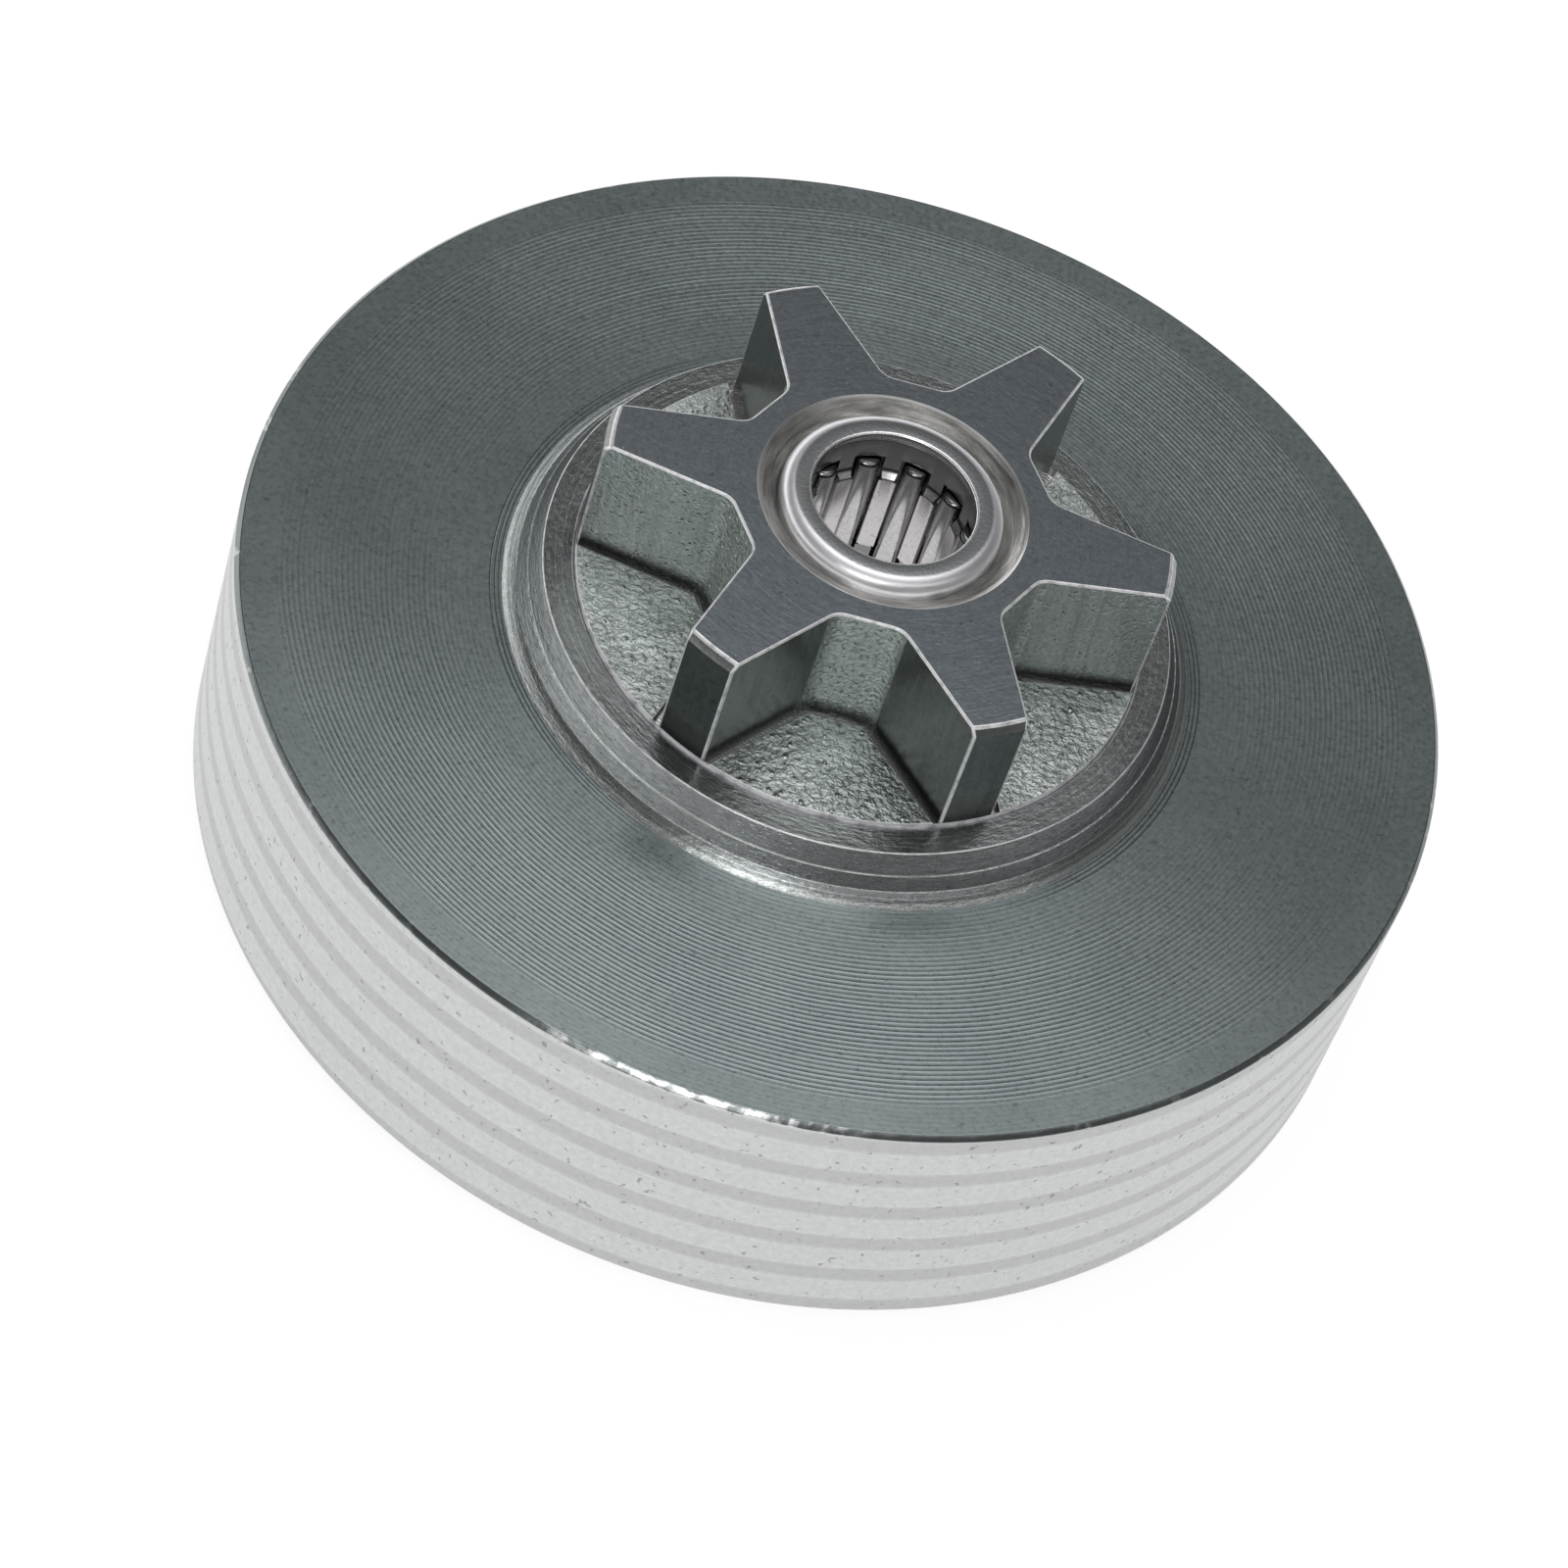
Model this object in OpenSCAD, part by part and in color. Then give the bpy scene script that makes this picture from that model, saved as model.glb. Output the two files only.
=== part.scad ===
// Clutch drum with a one-piece chain sprocket and a pressed-in needle bearing.
// The part stands on the open rim of the drum, with the sprocket on top.

/* [Drum] */
// Outside diameter of the drum
drum_d = 66; // [54:0.5:90]
// Height from the open rim to the flat face
drum_h = 16.5; // [12:0.5:26]
// Thickness of the drum wall
wall_t = 2.5; // [1.6:0.1:4]
// Thickness of the web under the flat face
web_t = 3; // [2:0.1:5]
// Chamfer round the flat face
face_chamfer = 0.25; // [0.1:0.05:0.8]
// Chamfer on the outer edge of the open rim
rim_chamfer = 0.5; // [0.1:0.05:0.7]
// Chamfer on the inner edge of the open rim
mouth_chamfer = 0.4; // [0.1:0.05:0.7]
// Radius of the corner between the wall and the web, inside the drum
inner_fillet = 1.5; // [0.5:0.1:3]

/* [Collar] */
// Height of the collar's flat ring above the flat face
collar_h = 2.55; // [1.5:0.05:4]
// Width of the collar's flat ring
ring_w = 1.55; // [0.8:0.05:3]
// Radial width of the upper slope, down to the break line
upper_slope_w = 0.6; // [0.3:0.05:1.5]
// Height of the break line above the flat face
break_h = 1.4; // [0.9:0.05:1.45]
// Width of the small ledge at the break line
ledge_w = 0.06; // [0.02:0.01:0.2]
// Radial width of the lower slope
lower_slope_w = 0.85; // [0.4:0.05:2]
// Radial width and height of the fillet at the collar's foot
foot_fillet = 0.25; // [0.1:0.05:0.6]

/* [Sprocket] */
// Number of teeth
teeth = 6; // [5:1:8]
// Diameter over the tooth tips
tip_d = 30.8; // [28:0.1:40]
// Height of the teeth above the flat face
tooth_h = 10.4; // [7:0.1:16]
// Width of a tooth at its tip
tip_w = 3; // [2:0.1:4]
// Angle by which each flank leans in towards the tip
flank_angle = 10.4; // [5:0.1:12]
// Distance across the flats between the teeth
root_flats = 17.2; // [16.6:0.1:19]
// Radius where a flank meets the flat between two teeth
root_fillet = 1.1; // [0.8:0.05:1.5]
// Width of the chamfer on the top of each tooth tip
tip_chamfer_w = 0.35; // [0.1:0.05:0.6]
// Height of the chamfer on the top of each tooth tip
tip_chamfer_h = 0.45; // [0.1:0.05:0.8]
// Height of the forged floor between the teeth above the collar's flat ring
floor_rise = 0.3; // [0.1:0.05:0.8]
// Width of the groove along the foot of the teeth
moat_w = 0.4; // [0.2:0.05:0.6]
// Depth of the groove along the foot of the teeth
moat_depth = 0.45; // [0.2:0.05:0.8]
// Width of the turned groove between the floor and the flat ring
turned_groove_w = 0.15; // [0.08:0.01:0.3]
// Depth of that groove below the flat ring
turned_groove_depth = 0.2; // [0.1:0.05:0.4]

/* [Hub] */
// Width of the recess round the bearing at the top face
recess_w = 1.2; // [0.8:0.05:1.8]
// Depth of the recess round the bearing
recess_depth = 1; // [0.5:0.05:1.6]
// Width of the steep lower cone of the recess
recess_step_w = 0.25; // [0.1:0.05:0.5]
// Depth at which the shallow upper cone of the recess ends
recess_step_depth = 0.55; // [0.2:0.05:0.9]
// Chamfer at the lower mouth of the bearing seat
seat_chamfer = 0.5; // [0.2:0.05:1]

/* [Bearing] */
// Diameter of the shaft that runs in the rollers
shaft_d = 8; // [6:0.5:8.5]
// Length of the bearing cup
bearing_l = 12; // [9:0.5:13]
// Height by which the cup stands proud of the tooth tops
cup_proud = 0.2; // [0:0.05:0.5]
// Thickness of the cup's wall
cup_t = 0.44; // [0.3:0.02:0.6]
// Thickness of the cup's lips
lip_t = 0.5; // [0.3:0.05:0.8]
// Clearance between a lip's edge and the shaft
lip_clearance = 0.4; // [0.2:0.05:0.6]
// Outer corner radius of the cup
cup_corner = 0.75; // [0.5:0.05:0.9]

/* [Rollers] */
// Number of rollers
rollers = 11; // [8:1:13]
// Diameter of a roller
roller_d = 1.5; // [1.2:0.05:1.7]
// Radial clearance of a roller against the cup and against the shaft
roller_play = 0.03; // [0.02:0.005:0.06]
// Corner radius at a roller's ends
roller_corner = 0.3; // [0.1:0.05:0.45]
// Direction of the first roller, seen from above
first_roller_angle = 10.8; // [0:0.1:30]

/* [Cage] */
// Thickness of the cage's sheet
cage_t = 0.3; // [0.2:0.05:0.35]
// Height of the cage's rims past the pockets
cage_rim_h = 1.3; // [0.8:0.05:2]
// Clearance between the cage's ends and the cup's lips
cage_end_play = 0.15; // [0.05:0.05:0.3]
// Clearance between the middle of the bars and the shaft
bar_clearance = 0.15; // [0.08:0.01:0.2]
// Distance by which the rims lie inside the circle of the roller axes
rim_inset = 0.23; // [0.15:0.01:0.3]
// Straight height of each pocket next to the rim
pocket_head_h = 0.95; // [0.6:0.05:1.2]
// Height of the bend between the rim and the middle of a bar
bend_h = 0.4; // [0.3:0.05:0.6]
// Length by which the wide end of a pocket runs past the bend
pocket_lead = 0.1; // [0.05:0.01:0.3]
// Clearance of a roller at the middle of the bars
pocket_clearance = 0.05; // [0.03:0.005:0.06]
// Clearance of a roller beside the rims
head_clearance = 0.1; // [0.06:0.01:0.12]
// Clearance of a roller at its ends
roller_end_play = 0.15; // [0.05:0.05:0.25]

/* [Hidden] */
$fn = 96;
eps = 0.01;
over = 1;

// Drum and collar, as radii and as heights above the open rim
drum_r = drum_d / 2;
cavity_r = drum_r - wall_t;
cavity_h = drum_h - web_t;
tip_r = tip_d / 2;
ring_in_r = tip_r + turned_groove_w;
ring_out_r = ring_in_r + ring_w;
break_r = ring_out_r + upper_slope_w;
foot_r = break_r + ledge_w + lower_slope_w;
ring_z = drum_h + collar_h;
break_z = drum_h + break_h;
top_z = drum_h + tooth_h;
floor_z = ring_z + floor_rise;

// Gap between two teeth, seen along its own centre line
half_pitch = 180 / teeth;
root_x = root_flats / 2;
gap_angle = half_pitch + flank_angle;
root_corner = root_corner_y();

// Bearing, from the shaft outwards
shaft_r = shaft_d / 2;
roller_r = roller_d / 2;
pitch_r = shaft_r + roller_play + roller_r;
raceway_r = pitch_r + roller_r + roller_play;
cup_r = raceway_r + cup_t;
lip_r = shaft_r + lip_clearance;
cup_top_z = top_z + cup_proud;
cup_mid_z = cup_top_z - bearing_l / 2;
cage_l = bearing_l - 2 * (lip_t + cage_end_play);
pocket_l = cage_l - 2 * cage_rim_h;
roller_l = pocket_l - 2 * roller_end_play;
bar_in_r = shaft_r + bar_clearance;
bar_out_r = bar_in_r + cage_t;
rim_in_r = pitch_r - rim_inset;
rim_out_r = rim_in_r + cage_t;
bar_half_l = pocket_l / 2 - pocket_head_h - bend_h;

// Half a roller's width where it dips between the middles of two bars
dip_half_w = sqrt(pow(roller_r, 2) - pow(pitch_r - bar_out_r, 2));
bar_pocket_w = 2 * (dip_half_w + pocket_clearance);
head_pocket_w = 2 * (roller_r + head_clearance);

function roller_name(i) = str("needle_roller_", i < 10 ? "0" : "", i);
function roller_angle(i) = first_roller_angle + (i - 1) * 360 / rollers;

// Half width of a tooth at distance x from the axis
function tooth_half_w(x) = tip_w / 2 + (tip_r - x) * tan(flank_angle);

// Height, in the gap's own frame, of the sharp corner between flat and flank
function root_corner_y() =
    let (
        lean = cos(half_pitch) - tan(flank_angle) * sin(half_pitch),
        x = (root_flats / 2 - tooth_half_w(0) * sin(half_pitch)) / lean
    )
    x * sin(half_pitch) - tooth_half_w(x) * cos(half_pitch);

// Section of the turned body, without its hollows
module body_section() {
    polygon([
        [0, 0],
        [drum_r - rim_chamfer, 0],
        [drum_r, rim_chamfer],
        [drum_r, drum_h - face_chamfer],
        [drum_r - face_chamfer, drum_h],
        [foot_r + foot_fillet, drum_h],
        [foot_r, drum_h + foot_fillet],
        [break_r + ledge_w, break_z],
        [break_r, break_z],
        [ring_out_r, ring_z],
        [ring_in_r, ring_z],
        [tip_r, ring_z - turned_groove_depth],
        [tip_r, top_z - tip_chamfer_h],
        [tip_r - tip_chamfer_w, top_z],
        [0, top_z]
    ]);
}

// Section of the space for the clutch shoes, with a rounded inner corner
module cavity_section() {
    translate([0, -over]) square([cavity_r, cavity_h - inner_fillet + over]);
    square([cavity_r - inner_fillet, cavity_h]);
    translate([cavity_r - inner_fillet, cavity_h - inner_fillet]) circle(r = inner_fillet);
    polygon([
        [0, -over],
        [cavity_r + mouth_chamfer + over, -over],
        [cavity_r, mouth_chamfer],
        [0, mouth_chamfer]
    ]);
}

// Section of the seat of the bearing, with the stepped recess at its top
module seat_section() {
    polygon([
        [0, cavity_h - over],
        [cup_r + seat_chamfer + over, cavity_h - over],
        [cup_r, cavity_h + seat_chamfer],
        [cup_r, top_z - recess_depth],
        [cup_r + recess_step_w, top_z - recess_step_depth],
        [cup_r + recess_w, top_z],
        [cup_r + recess_w, top_z + over],
        [0, top_z + over]
    ]);
}

// Outline of one gap between two teeth, along +X, drawn in by a distance
module gap_outline(inset) {
    r = root_fillet - inset;
    x = root_x + inset;
    y = root_corner - inset * cos(gap_angle) + inset * (1 - sin(gap_angle)) * tan(gap_angle);
    tangent = r / tan(45 + gap_angle / 2);
    far = tip_r + over - x;
    polygon([
        [x, y - tangent],
        [x + tangent * cos(gap_angle), y + tangent * sin(gap_angle)],
        [x + far, y + far * tan(gap_angle)],
        [x + far, -y - far * tan(gap_angle)],
        [x + tangent * cos(gap_angle), -y - tangent * sin(gap_angle)],
        [x, tangent - y]
    ]);
    for (side = [-1, 1]) translate([x + r, side * (y - tangent)]) circle(r = r);
}

// One gap, down to the forged floor, with the groove along the teeth
module tooth_gap() {
    translate([0, 0, floor_z]) linear_extrude(top_z - floor_z + over) gap_outline(0);
    translate([0, 0, floor_z - moat_depth]) linear_extrude(moat_depth + eps) difference() {
        gap_outline(0);
        gap_outline(moat_w);
    }
}

module drum_sprocket() {
    color("#59605f") difference() {
        rotate_extrude() body_section();
        rotate_extrude() cavity_section();
        rotate_extrude() seat_section();
        intersection() {
            for (i = [0 : teeth - 1]) rotate(half_pitch + i * 360 / teeth) tooth_gap();
            cylinder(r = tip_r + eps, h = top_z + 2 * over);
        }
    }
}

module bearing_cup() {
    cavity_half_l = bearing_l / 2 - lip_t;
    inner_corner = max(cup_corner - cup_t, eps);
    color("#9a9ea0") translate([0, 0, cup_mid_z]) rotate_extrude() difference() {
        union() {
            translate([0, cup_corner - bearing_l / 2]) square([cup_r, bearing_l - 2 * cup_corner]);
            translate([0, -bearing_l / 2]) square([cup_r - cup_corner, bearing_l]);
            for (end = [-1, 1])
                translate([cup_r - cup_corner, end * (bearing_l / 2 - cup_corner)]) circle(r = cup_corner);
        }
        translate([0, -bearing_l / 2 - over]) square([lip_r, bearing_l + 2 * over]);
        translate([0, inner_corner - cavity_half_l]) square([raceway_r, 2 * (cavity_half_l - inner_corner)]);
        translate([0, -cavity_half_l]) square([raceway_r - inner_corner, 2 * cavity_half_l]);
        for (end = [-1, 1])
            translate([raceway_r - inner_corner, end * (cavity_half_l - inner_corner)]) circle(r = inner_corner);
    }
}

// Folded section of the cage: a rim and a bend at each end of the bars
module cage_section() {
    upper = [
        [bar_out_r, bar_half_l],
        [rim_out_r, bar_half_l + bend_h],
        [rim_out_r, cage_l / 2],
        [rim_in_r, cage_l / 2],
        [rim_in_r, bar_half_l + bend_h],
        [bar_in_r, bar_half_l]
    ];
    lower = [for (i = [len(upper) - 1 : -1 : 0]) [upper[i][0], -upper[i][1]]];
    polygon(concat(upper, lower));
}

// One pocket, narrow at the middle of the bars and wide beside the rims
module cage_pocket() {
    head_l = pocket_l / 2 - bar_half_l + pocket_lead;
    cut = cup_r - shaft_r + over;
    translate([shaft_r - over + cut / 2, 0, 0]) {
        cube([cut, bar_pocket_w, pocket_l - head_l], center = true);
        for (end = [-1, 1])
            translate([0, 0, end * (pocket_l - head_l) / 2]) cube([cut, head_pocket_w, head_l], center = true);
    }
}

module bearing_cage() {
    color("#7d7f80") translate([0, 0, cup_mid_z]) difference() {
        rotate_extrude() cage_section();
        for (i = [1 : rollers]) rotate(roller_angle(i)) cage_pocket();
    }
}

module needle_roller(i) {
    flat_r = roller_r - roller_corner;
    color("#b4b6b8") rotate(roller_angle(i)) translate([pitch_r, 0, cup_mid_z]) rotate_extrude() {
        translate([0, roller_corner - roller_l / 2]) square([roller_r, roller_l - 2 * roller_corner]);
        translate([0, -roller_l / 2]) square([flat_r, roller_l]);
        intersection() {
            translate([0, -roller_l / 2]) square([roller_r, roller_l]);
            for (end = [-1, 1])
                translate([flat_r, end * (roller_l / 2 - roller_corner)]) circle(r = roller_corner);
        }
    }
}

drum_sprocket();
bearing_cup();
bearing_cage();
for (i = [1 : rollers]) needle_roller(i);
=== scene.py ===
import math

import bmesh
import bpy
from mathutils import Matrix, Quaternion, Vector


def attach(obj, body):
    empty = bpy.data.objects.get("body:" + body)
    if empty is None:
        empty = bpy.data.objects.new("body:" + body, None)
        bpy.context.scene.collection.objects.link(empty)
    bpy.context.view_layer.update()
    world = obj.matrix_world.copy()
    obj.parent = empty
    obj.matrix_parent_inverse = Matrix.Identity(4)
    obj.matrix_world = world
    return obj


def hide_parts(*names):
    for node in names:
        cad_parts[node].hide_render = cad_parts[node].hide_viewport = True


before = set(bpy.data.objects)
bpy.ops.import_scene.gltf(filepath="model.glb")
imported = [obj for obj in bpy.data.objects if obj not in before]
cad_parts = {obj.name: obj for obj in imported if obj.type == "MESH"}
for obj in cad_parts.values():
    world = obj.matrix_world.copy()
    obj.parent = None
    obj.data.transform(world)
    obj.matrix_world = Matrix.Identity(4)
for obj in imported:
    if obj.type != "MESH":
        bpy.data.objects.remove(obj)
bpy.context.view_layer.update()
mm = 0.001  # every size below is in mm


# small helpers for edit mode

def deselectAll():
    if bpy.context.object and bpy.context.object.mode != "OBJECT":
        bpy.ops.object.mode_set(mode="OBJECT")
    bpy.ops.object.select_all(action="DESELECT")


def activate(piece):
    deselectAll()
    piece.select_set(True)
    bpy.context.view_layer.objects.active = piece


def pointAt(name, place):
    # a plane primitive merged down to one vertex, the start of every outline
    deselectAll()
    bpy.ops.mesh.primitive_plane_add(size=mm, location=(0, 0, 0))
    piece = bpy.context.object
    piece.name = name
    piece.data.name = name
    bpy.ops.object.mode_set(mode="EDIT")
    bpy.ops.mesh.select_mode(type="VERT")
    bpy.ops.mesh.select_all(action="SELECT")
    bpy.ops.mesh.merge(type="CENTER")
    bpy.ops.transform.translate(value=Vector(place) * mm)
    return piece


def extrudeAlong(points):
    # one extrude per step, in mm
    here = Vector(points[0])
    for point in points[1:]:
        step = Vector(point) - here
        bpy.ops.mesh.extrude_region_move(TRANSFORM_OT_translate={"value": step * mm})
        here = Vector(point)


def lathe(name, section, steps):
    # section as (radius, height) pairs from axis to axis, or closed on itself
    piece = pointAt(name, (section[0][0], 0, section[0][1]))
    extrudeAlong([(r, 0, z) for r, z in section])
    bpy.ops.mesh.select_all(action="SELECT")
    bpy.ops.mesh.spin(steps=steps, angle=2 * math.pi, center=(0, 0, 0), axis=(0, 0, 1))
    bpy.ops.mesh.select_all(action="SELECT")
    bpy.ops.mesh.remove_doubles(threshold=0.0005 * mm)
    bpy.ops.mesh.select_all(action="SELECT")
    bpy.ops.mesh.normals_make_consistent(inside=False)
    bpy.ops.object.mode_set(mode="OBJECT")
    return piece


def prism(name, outline, low, high):
    # outline as (x, y) pairs, filled and pulled up
    piece = pointAt(name, (outline[0][0], outline[0][1], low))
    extrudeAlong([(x, y, low) for x, y in outline])
    bpy.ops.mesh.select_all(action="SELECT")
    bpy.ops.mesh.edge_face_add()
    bpy.ops.mesh.select_all(action="SELECT")
    bpy.ops.mesh.extrude_region_move(TRANSFORM_OT_translate={"value": (0, 0, (high - low) * mm)})
    bpy.ops.mesh.select_all(action="SELECT")
    bpy.ops.mesh.normals_make_consistent(inside=False)
    bpy.ops.object.mode_set(mode="OBJECT")
    return piece


def cutWith(piece, tool, operation):
    activate(piece)
    cut = piece.modifiers.new(operation.lower(), "BOOLEAN")
    cut.operation = operation
    cut.solver = "EXACT"
    cut.object = tool
    bpy.ops.object.modifier_apply(modifier=cut.name)
    bpy.data.objects.remove(tool)


def rounded(corners, radii, steps):
    # replaces each corner that has a radius by a short arc
    out = []
    count = len(corners)
    for i, corner in enumerate(corners):
        radius = radii.get(i, 0)
        here = Vector(corner)
        if not radius:
            out.append(tuple(here))
            continue
        back = (Vector(corners[i - 1]) - here).normalized()
        ahead = (Vector(corners[(i + 1) % count]) - here).normalized()
        half = back.angle(ahead) / 2
        reach = radius / math.tan(half)
        centre = here + (back + ahead).normalized() * (radius / math.sin(half))
        start = here + back * reach - centre
        turn = start.angle_signed(here + ahead * reach - centre)
        for k in range(steps + 1):
            angle = -turn * k / steps
            c, s = math.cos(angle), math.sin(angle)
            out.append((centre.x + start.x * c - start.y * s, centre.y + start.x * s + start.y * c))
    return out


def selectEdges(test):
    # test gets the two ends in mm and the two face normals of each edge
    mesh = bmesh.from_edit_mesh(bpy.context.object.data)
    for face in mesh.faces:
        face.select = False
    for edge in mesh.edges:
        edge.select = False
    for vert in mesh.verts:
        vert.select = False
    found = 0
    for edge in mesh.edges:
        if len(edge.link_faces) != 2:
            continue
        a, b = [v.co / mm for v in edge.verts]
        if test(a, b, edge.link_faces[0].normal, edge.link_faces[1].normal):
            edge.select = True
            found += 1
    bmesh.update_edit_mesh(bpy.context.object.data)
    return found


def flat(v):
    return math.hypot(v.x, v.y)


# shader helpers

def newGroup(name, inputs, outputs):
    tree = bpy.data.node_groups.new(name, "ShaderNodeTree")
    for label, kind, value in inputs:
        socket = tree.interface.new_socket(name=label, in_out="INPUT", socket_type="NodeSocket" + kind)
        if value is not None:
            socket.default_value = value
    for label, kind in outputs:
        tree.interface.new_socket(name=label, in_out="OUTPUT", socket_type="NodeSocket" + kind)
    return tree, tree.nodes.new("NodeGroupInput").outputs, tree.nodes.new("NodeGroupOutput").inputs


def feed(tree, value, socket):
    if isinstance(value, bpy.types.NodeSocket):
        tree.links.new(value, socket)
    else:
        socket.default_value = value


def maths(tree, operation, *values, clamp=False):
    node = tree.nodes.new("ShaderNodeMath")
    node.operation = operation
    node.use_clamp = clamp
    for socket, value in zip(node.inputs, values):
        feed(tree, value, socket)
    return node.outputs[0]


def mixed(tree, first, second, share):
    # share of the first value, the rest of the second
    return maths(tree, "ADD", maths(tree, "MULTIPLY", first, share), maths(tree, "MULTIPLY", second, 1 - share))


def mapped(tree, value, low, high, toLow=0.0, toHigh=1.0, smooth=False):
    node = tree.nodes.new("ShaderNodeMapRange")
    node.interpolation_type = "SMOOTHSTEP" if smooth else "LINEAR"
    for socket, entry in zip(node.inputs, (value, low, high, toLow, toHigh)):
        feed(tree, entry, socket)
    return node.outputs[0]


def lineAt(tree, value, centre, half):
    # 1 at the centre, 0 beyond half
    away = maths(tree, "ABSOLUTE", maths(tree, "SUBTRACT", value, centre))
    return mapped(tree, away, half, half * 0.3, smooth=True)


def noise(tree, vector, scale, detail=2.0, rough=0.5, warp=0.0):
    node = tree.nodes.new("ShaderNodeTexNoise")
    feed(tree, vector, node.inputs["Vector"])
    for label, value in (("Scale", scale), ("Detail", detail), ("Roughness", rough), ("Distortion", warp)):
        feed(tree, value, node.inputs[label])
    return node.outputs["Fac"]


def cells(tree, vector, scale):
    node = tree.nodes.new("ShaderNodeTexVoronoi")
    feed(tree, vector, node.inputs["Vector"])
    feed(tree, scale, node.inputs["Scale"])
    return node.outputs["Distance"]


def blendColour(tree, share, first, second):
    node = tree.nodes.new("ShaderNodeMix")
    node.data_type = "RGBA"
    feed(tree, share, node.inputs["Factor"])
    feed(tree, first, node.inputs["A"])
    feed(tree, second, node.inputs["B"])
    return node.outputs["Result"]


def bump(tree, height, distance, strength=1.0, normal=None):
    # distance in mm
    node = tree.nodes.new("ShaderNodeBump")
    feed(tree, height, node.inputs["Height"])
    feed(tree, strength, node.inputs["Strength"])
    node.inputs["Distance"].default_value = distance * mm
    if normal:
        feed(tree, normal, node.inputs["Normal"])
    return node.outputs["Normal"]


def combined(tree, *values):
    node = tree.nodes.new("ShaderNodeCombineXYZ")
    for socket, value in zip(node.inputs, values):
        feed(tree, value, socket)
    return node.outputs[0]


def grouped(tree, group, **inputs):
    node = tree.nodes.new("ShaderNodeGroup")
    node.node_tree = group
    for label, value in inputs.items():
        feed(tree, value, node.inputs[label])
    return node.outputs


# effects shared by the steel finishes; all of them count in mm

def makeAxisPlace():
    # distance from the axis, height, share of a turn, and a length that runs along any turned surface
    tree, given, out = newGroup("axisPlace", [("Vector", "Vector", None)],
                                [("Radius", "Float"), ("Height", "Float"), ("Turn", "Float"), ("Run", "Float"),
                                 ("Round", "Vector"), ("Place", "Vector")])
    scaled = tree.nodes.new("ShaderNodeVectorMath")
    scaled.operation = "SCALE"
    feed(tree, given["Vector"], scaled.inputs[0])
    scaled.inputs["Scale"].default_value = 1000
    parts = tree.nodes.new("ShaderNodeSeparateXYZ")
    feed(tree, scaled.outputs[0], parts.inputs[0])
    x, y, z = parts.outputs
    radius = maths(tree, "SQRT", maths(tree, "ADD", maths(tree, "MULTIPLY", x, x), maths(tree, "MULTIPLY", y, y)))
    safe = maths(tree, "MAXIMUM", radius, 0.01)
    feed(tree, radius, out["Radius"])
    feed(tree, z, out["Height"])
    feed(tree, maths(tree, "DIVIDE", maths(tree, "ARCTAN2", y, x), 2 * math.pi), out["Turn"])
    feed(tree, maths(tree, "SUBTRACT", radius, z), out["Run"])
    feed(tree, combined(tree, maths(tree, "DIVIDE", x, safe), maths(tree, "DIVIDE", y, safe), 0.0), out["Round"])
    feed(tree, scaled.outputs[0], out["Place"])
    return tree


def makeToolMarks():
    # evenly spaced scallops that a round-nosed tool leaves, uneven from ring to ring
    tree, given, out = newGroup("toolMarks", [("Vector", "Vector", None), ("Pitch", "Float", 0.29),
                                              ("Waver", "Float", 0.02)],
                                [("Height", "Float"), ("Crest", "Float")])
    place = grouped(tree, axisPlace, Vector=given["Vector"])
    drift = noise(tree, place["Place"], 0.12, 1.0)
    run = maths(tree, "ADD", place["Run"], maths(tree, "MULTIPLY", drift, given["Waver"]))
    phase = maths(tree, "FRACT", maths(tree, "DIVIDE", run, given["Pitch"]))
    arm = maths(tree, "ABSOLUTE", maths(tree, "SUBTRACT", phase, 0.5))
    scallop = maths(tree, "MULTIPLY", maths(tree, "MULTIPLY", arm, arm), 4.0)
    ringNoise = noise(tree, combined(tree, maths(tree, "MULTIPLY", run, 1.3), 0.0, 0.0), 1.0, 2.0)
    height = maths(tree, "MULTIPLY", scallop, mapped(tree, ringNoise, 0.3, 0.7, 0.55, 1.2))
    feed(tree, height, out["Height"])
    feed(tree, mapped(tree, arm, 0.36, 0.5), out["Crest"])
    return tree


def makeRingStreaks():
    # fine turned streaks that start and stop round the axis
    tree, given, out = newGroup("ringStreaks", [("Vector", "Vector", None), ("Fineness", "Float", 8.0),
                                                ("Wander", "Float", 2.5)],
                                [("Value", "Float")])
    place = grouped(tree, axisPlace, Vector=given["Vector"])
    around = tree.nodes.new("ShaderNodeVectorMath")
    around.operation = "SCALE"
    feed(tree, place["Round"], around.inputs[0])
    feed(tree, given["Wander"], around.inputs["Scale"])
    parts = tree.nodes.new("ShaderNodeSeparateXYZ")
    feed(tree, around.outputs[0], parts.inputs[0])
    along = maths(tree, "MULTIPLY", place["Run"], given["Fineness"])
    where = combined(tree, along, parts.outputs[0], parts.outputs[1])
    fine = noise(tree, where, 1.0, 3.0, 0.65)
    coarse = noise(tree, combined(tree, maths(tree, "MULTIPLY", along, 0.31), parts.outputs[0], parts.outputs[1]),
                   1.0, 1.0)
    feed(tree, maths(tree, "ADD", maths(tree, "MULTIPLY", fine, 0.7), maths(tree, "MULTIPLY", coarse, 0.3)),
         out["Value"])
    return tree


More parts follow.
